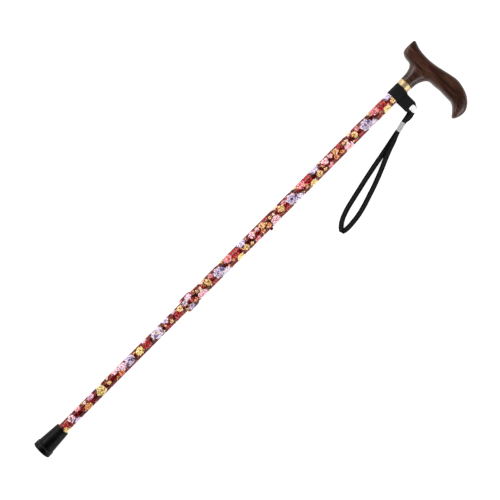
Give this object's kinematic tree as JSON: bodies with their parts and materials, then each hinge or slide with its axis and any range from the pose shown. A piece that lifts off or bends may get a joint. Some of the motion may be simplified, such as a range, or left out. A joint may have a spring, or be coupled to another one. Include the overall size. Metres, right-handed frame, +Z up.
{
  "type": "single point walking cane",
  "caption": "Height-adjustable walking cane with a wooden derby handle, printed tube, snap button, lock nut, wrist strap and rubber foot.",
  "frame": {"origin": "middle of the cane's footprint, on the surface that the cane lies on", "axes": "+X along the shaft from the foot to the handle, -Y towards the grip end of the handle and the strap, +Z up from the surface"},
  "size_m": [0.816, 0.1302, 0.0294],
  "materials": {
    "wood": "dark rosewood, satin lacquer",
    "brass": "polished",
    "printed_tube": "aluminium with a glossy floral print in crimson, gold, pink and lavender",
    "rubber": "black, moulded",
    "strap": "black woven tape and band",
    "nickel": "bright nickel plate",
    "steel": "zinc plated",
    "button": "dark nickel",
    "crimp": "ridged, bright",
    "nylon": "natural nylon",
    "black_plastic": "black nylon"
  },
  "bodies": {
    "upper": {"handle": "wood", "handle_stud": "steel", "brass_ring": "brass", "tube_top_plug": "wood", "plug_pin": "steel", "upper_tube": "printed_tube", "guide_bush": "black_plastic"},
    "lower": {"lower_tube": "printed_tube", "glide_cap": "nylon", "button_spring": "steel", "rubber_tip": "rubber", "tip_washer": "steel"},
    "button": {"snap_button": "button"},
    "collet": {"split_ring": "nylon"},
    "nut": {"lock_nut": "printed_tube"},
    "band": {"strap_band": "strap", "snap_cap": "nickel", "snap_socket": "nickel", "snap_stud": "nickel", "snap_post": "nickel"},
    "strap": {"strap_cord": "strap", "crimp_sleeve": "crimp"}
  },
  "joints": [
    {"name": "height_adjust", "type": "slide", "parent": "upper", "child": "lower", "axis": [-1, 0, 0], "range_m": [-0.075, 0.075]},
    {"name": "button_press", "type": "slide", "parent": "lower", "child": "button", "axis": [0, 1, 0], "range_m": [0, 0.0043], "stiffness_N_per_m": 1200, "springref_m": -0.002, "deforming": ["button_spring"]},
    {"name": "collet_slide", "type": "slide", "parent": "upper", "child": "collet", "axis": [-1, 0, 0], "range_m": [0, 0.003]},
    {"name": "nut_turn", "type": "hinge", "parent": "collet", "child": "nut", "pos_m": [-0.1, 0.0268, 0.0147], "axis": [-1, 0, 0], "range_deg": [0, 540]},
    {"name": "band_turn", "type": "hinge", "parent": "upper", "child": "band", "pos_m": [0.3321, 0.0268, 0.0147], "axis": [1, 0, 0], "continuous": true},
    {"name": "strap_swing", "type": "hinge", "parent": "band", "child": "strap", "pos_m": [0.3321, -0.0066, 0.0147], "axis": [0, 0, 1], "range_deg": [-12, 75]}
  ],
  "couplings": [
    {"joint": "nut_turn", "follows": "collet_slide", "rad_per_m": 3141.6}
  ]
}
